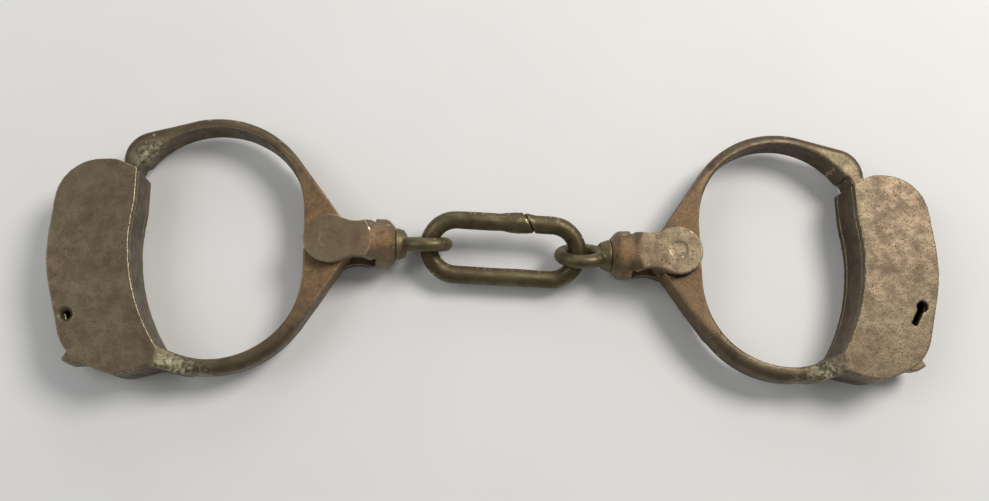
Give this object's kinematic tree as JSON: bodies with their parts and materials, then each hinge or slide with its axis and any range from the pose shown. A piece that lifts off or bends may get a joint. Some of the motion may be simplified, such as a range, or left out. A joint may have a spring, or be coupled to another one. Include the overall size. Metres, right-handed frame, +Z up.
{
  "type": "handcuffs",
  "caption": "Antique ratchet handcuffs: two lock cases with hinged shackles, joined by swivel eyes and a forged oblong link.",
  "frame": {"origin": "on the surface the cuffs lie on, under the middle of the pair", "axes": "+X from the left cuff to the right cuff, +Y towards the shackles, +Z up off the surface"},
  "size_m": [0.2546, 0.0783, 0.0155],
  "materials": {
    "case_iron": "brown patina over worn malleable iron, pitted",
    "plate_iron": "brown and olive patina, worn bright at the edges",
    "rivet_iron": "flush rivet ends, worn",
    "shackle_iron": "rust-brown patina, worn bright on the outside",
    "fork_iron": "rust-brown patina",
    "pin_iron": "ground flush, worn",
    "eye_iron": "dark worn patina",
    "link_iron": "forge-welded, dark patina",
    "dark_steel": "dark steel",
    "spring_steel": "blued spring steel",
    "bare_steel": "oily bare steel"
  },
  "bodies": {
    "right_case": {"right_lock_frame": "case_iron", "right_front_plate": "plate_iron", "right_back_plate": "plate_iron", "right_plate_rivets": "rivet_iron", "right_bolt_pivot": "bare_steel", "right_bolt_spring": "spring_steel", "right_spring_stud": "bare_steel"},
    "right_shackle": {"right_shackle": "shackle_iron"},
    "right_fork": {"right_hinge_fork": "fork_iron", "right_hinge_pin": "pin_iron"},
    "right_swivel": {"right_swivel": "eye_iron", "right_swivel_washer": "bare_steel"},
    "right_bolt": {"right_ratchet_bolt": "bare_steel"},
    "right_button": {"right_release_button": "dark_steel"},
    "left_case": {"left_lock_frame": "case_iron", "left_front_plate": "plate_iron", "left_back_plate": "plate_iron", "left_plate_rivets": "rivet_iron", "left_bolt_pivot": "bare_steel", "left_bolt_spring": "spring_steel", "left_spring_stud": "bare_steel"},
    "left_shackle": {"left_shackle": "shackle_iron"},
    "left_fork": {"left_hinge_fork": "fork_iron", "left_hinge_pin": "pin_iron"},
    "left_swivel": {"left_swivel": "eye_iron", "left_swivel_washer": "bare_steel"},
    "left_bolt": {"left_ratchet_bolt": "bare_steel"},
    "left_button": {"left_release_button": "dark_steel"},
    "link": {"link": "link_iron"}
  },
  "joints": [
    {"name": "right_shackle_swing", "type": "hinge", "parent": "right_case", "child": "right_shackle", "pos_m": [0.05025, -0.0017, 0.00775], "axis": [0, 0, 1], "range_deg": [0, 60]},
    {"name": "right_button_press", "type": "slide", "parent": "right_case", "child": "right_button", "axis": [-0.4695, 0.8829, 0], "range_m": [-0.0006, 0.0006], "stiffness_N_per_m": 400},
    {"name": "right_bolt_throw", "type": "hinge", "parent": "right_case", "child": "right_bolt", "pos_m": [0.11625, -0.0262, 0.00775], "axis": [0, 0, 1], "range_deg": [-2, 2]},
    {"name": "right_fork_swing", "type": "hinge", "parent": "right_case", "child": "right_fork", "pos_m": [0.05025, -0.0017, 0.00775], "axis": [0, 0, 1], "range_deg": [-55, 55]},
    {"name": "right_swivel_turn", "type": "hinge", "parent": "right_fork", "child": "right_swivel", "pos_m": [0.02285, -0.0017, 0.00775], "axis": [1, 0, 0], "continuous": true},
    {"name": "right_link_swing", "type": "hinge", "parent": "right_swivel", "child": "link", "pos_m": [0.02181, -0.00127, 0.00775], "axis": [0.0554, 0.9494, 0.309], "range_deg": [-70, 70]},
    {"name": "left_link_swing", "type": "hinge", "parent": "link", "child": "left_swivel", "pos_m": [-0.02181, 0.00127, 0.00775], "axis": [-0.0554, -0.9494, -0.309], "range_deg": [-70, 70]},
    {"name": "left_swivel_turn", "type": "hinge", "parent": "left_swivel", "child": "left_fork", "pos_m": [-0.02285, 0.0017, 0.00775], "axis": [-1, 0, 0], "continuous": true},
    {"name": "left_fork_swing", "type": "hinge", "parent": "left_fork", "child": "left_case", "pos_m": [-0.05025, 0.0017, 0.00775], "axis": [0, 0, 1], "range_deg": [-55, 55]},
    {"name": "left_shackle_swing", "type": "hinge", "parent": "left_case", "child": "left_shackle", "pos_m": [-0.05025, 0.0017, 0.00775], "axis": [0, 0, -1], "range_deg": [0, 60]},
    {"name": "left_button_press", "type": "slide", "parent": "left_case", "child": "left_button", "axis": [0.4695, 0.8829, 0], "range_m": [-0.0006, 0.0006], "stiffness_N_per_m": 400},
    {"name": "left_bolt_throw", "type": "hinge", "parent": "left_case", "child": "left_bolt", "pos_m": [-0.11625, -0.0228, 0.00775], "axis": [0, 0, -1], "range_deg": [-2, 2]}
  ],
  "couplings": [
    {"joint": "right_bolt_throw", "follows": "right_button_press", "rad_per_m": -58.178},
    {"joint": "left_bolt_throw", "follows": "left_button_press", "rad_per_m": -58.178}
  ]
}
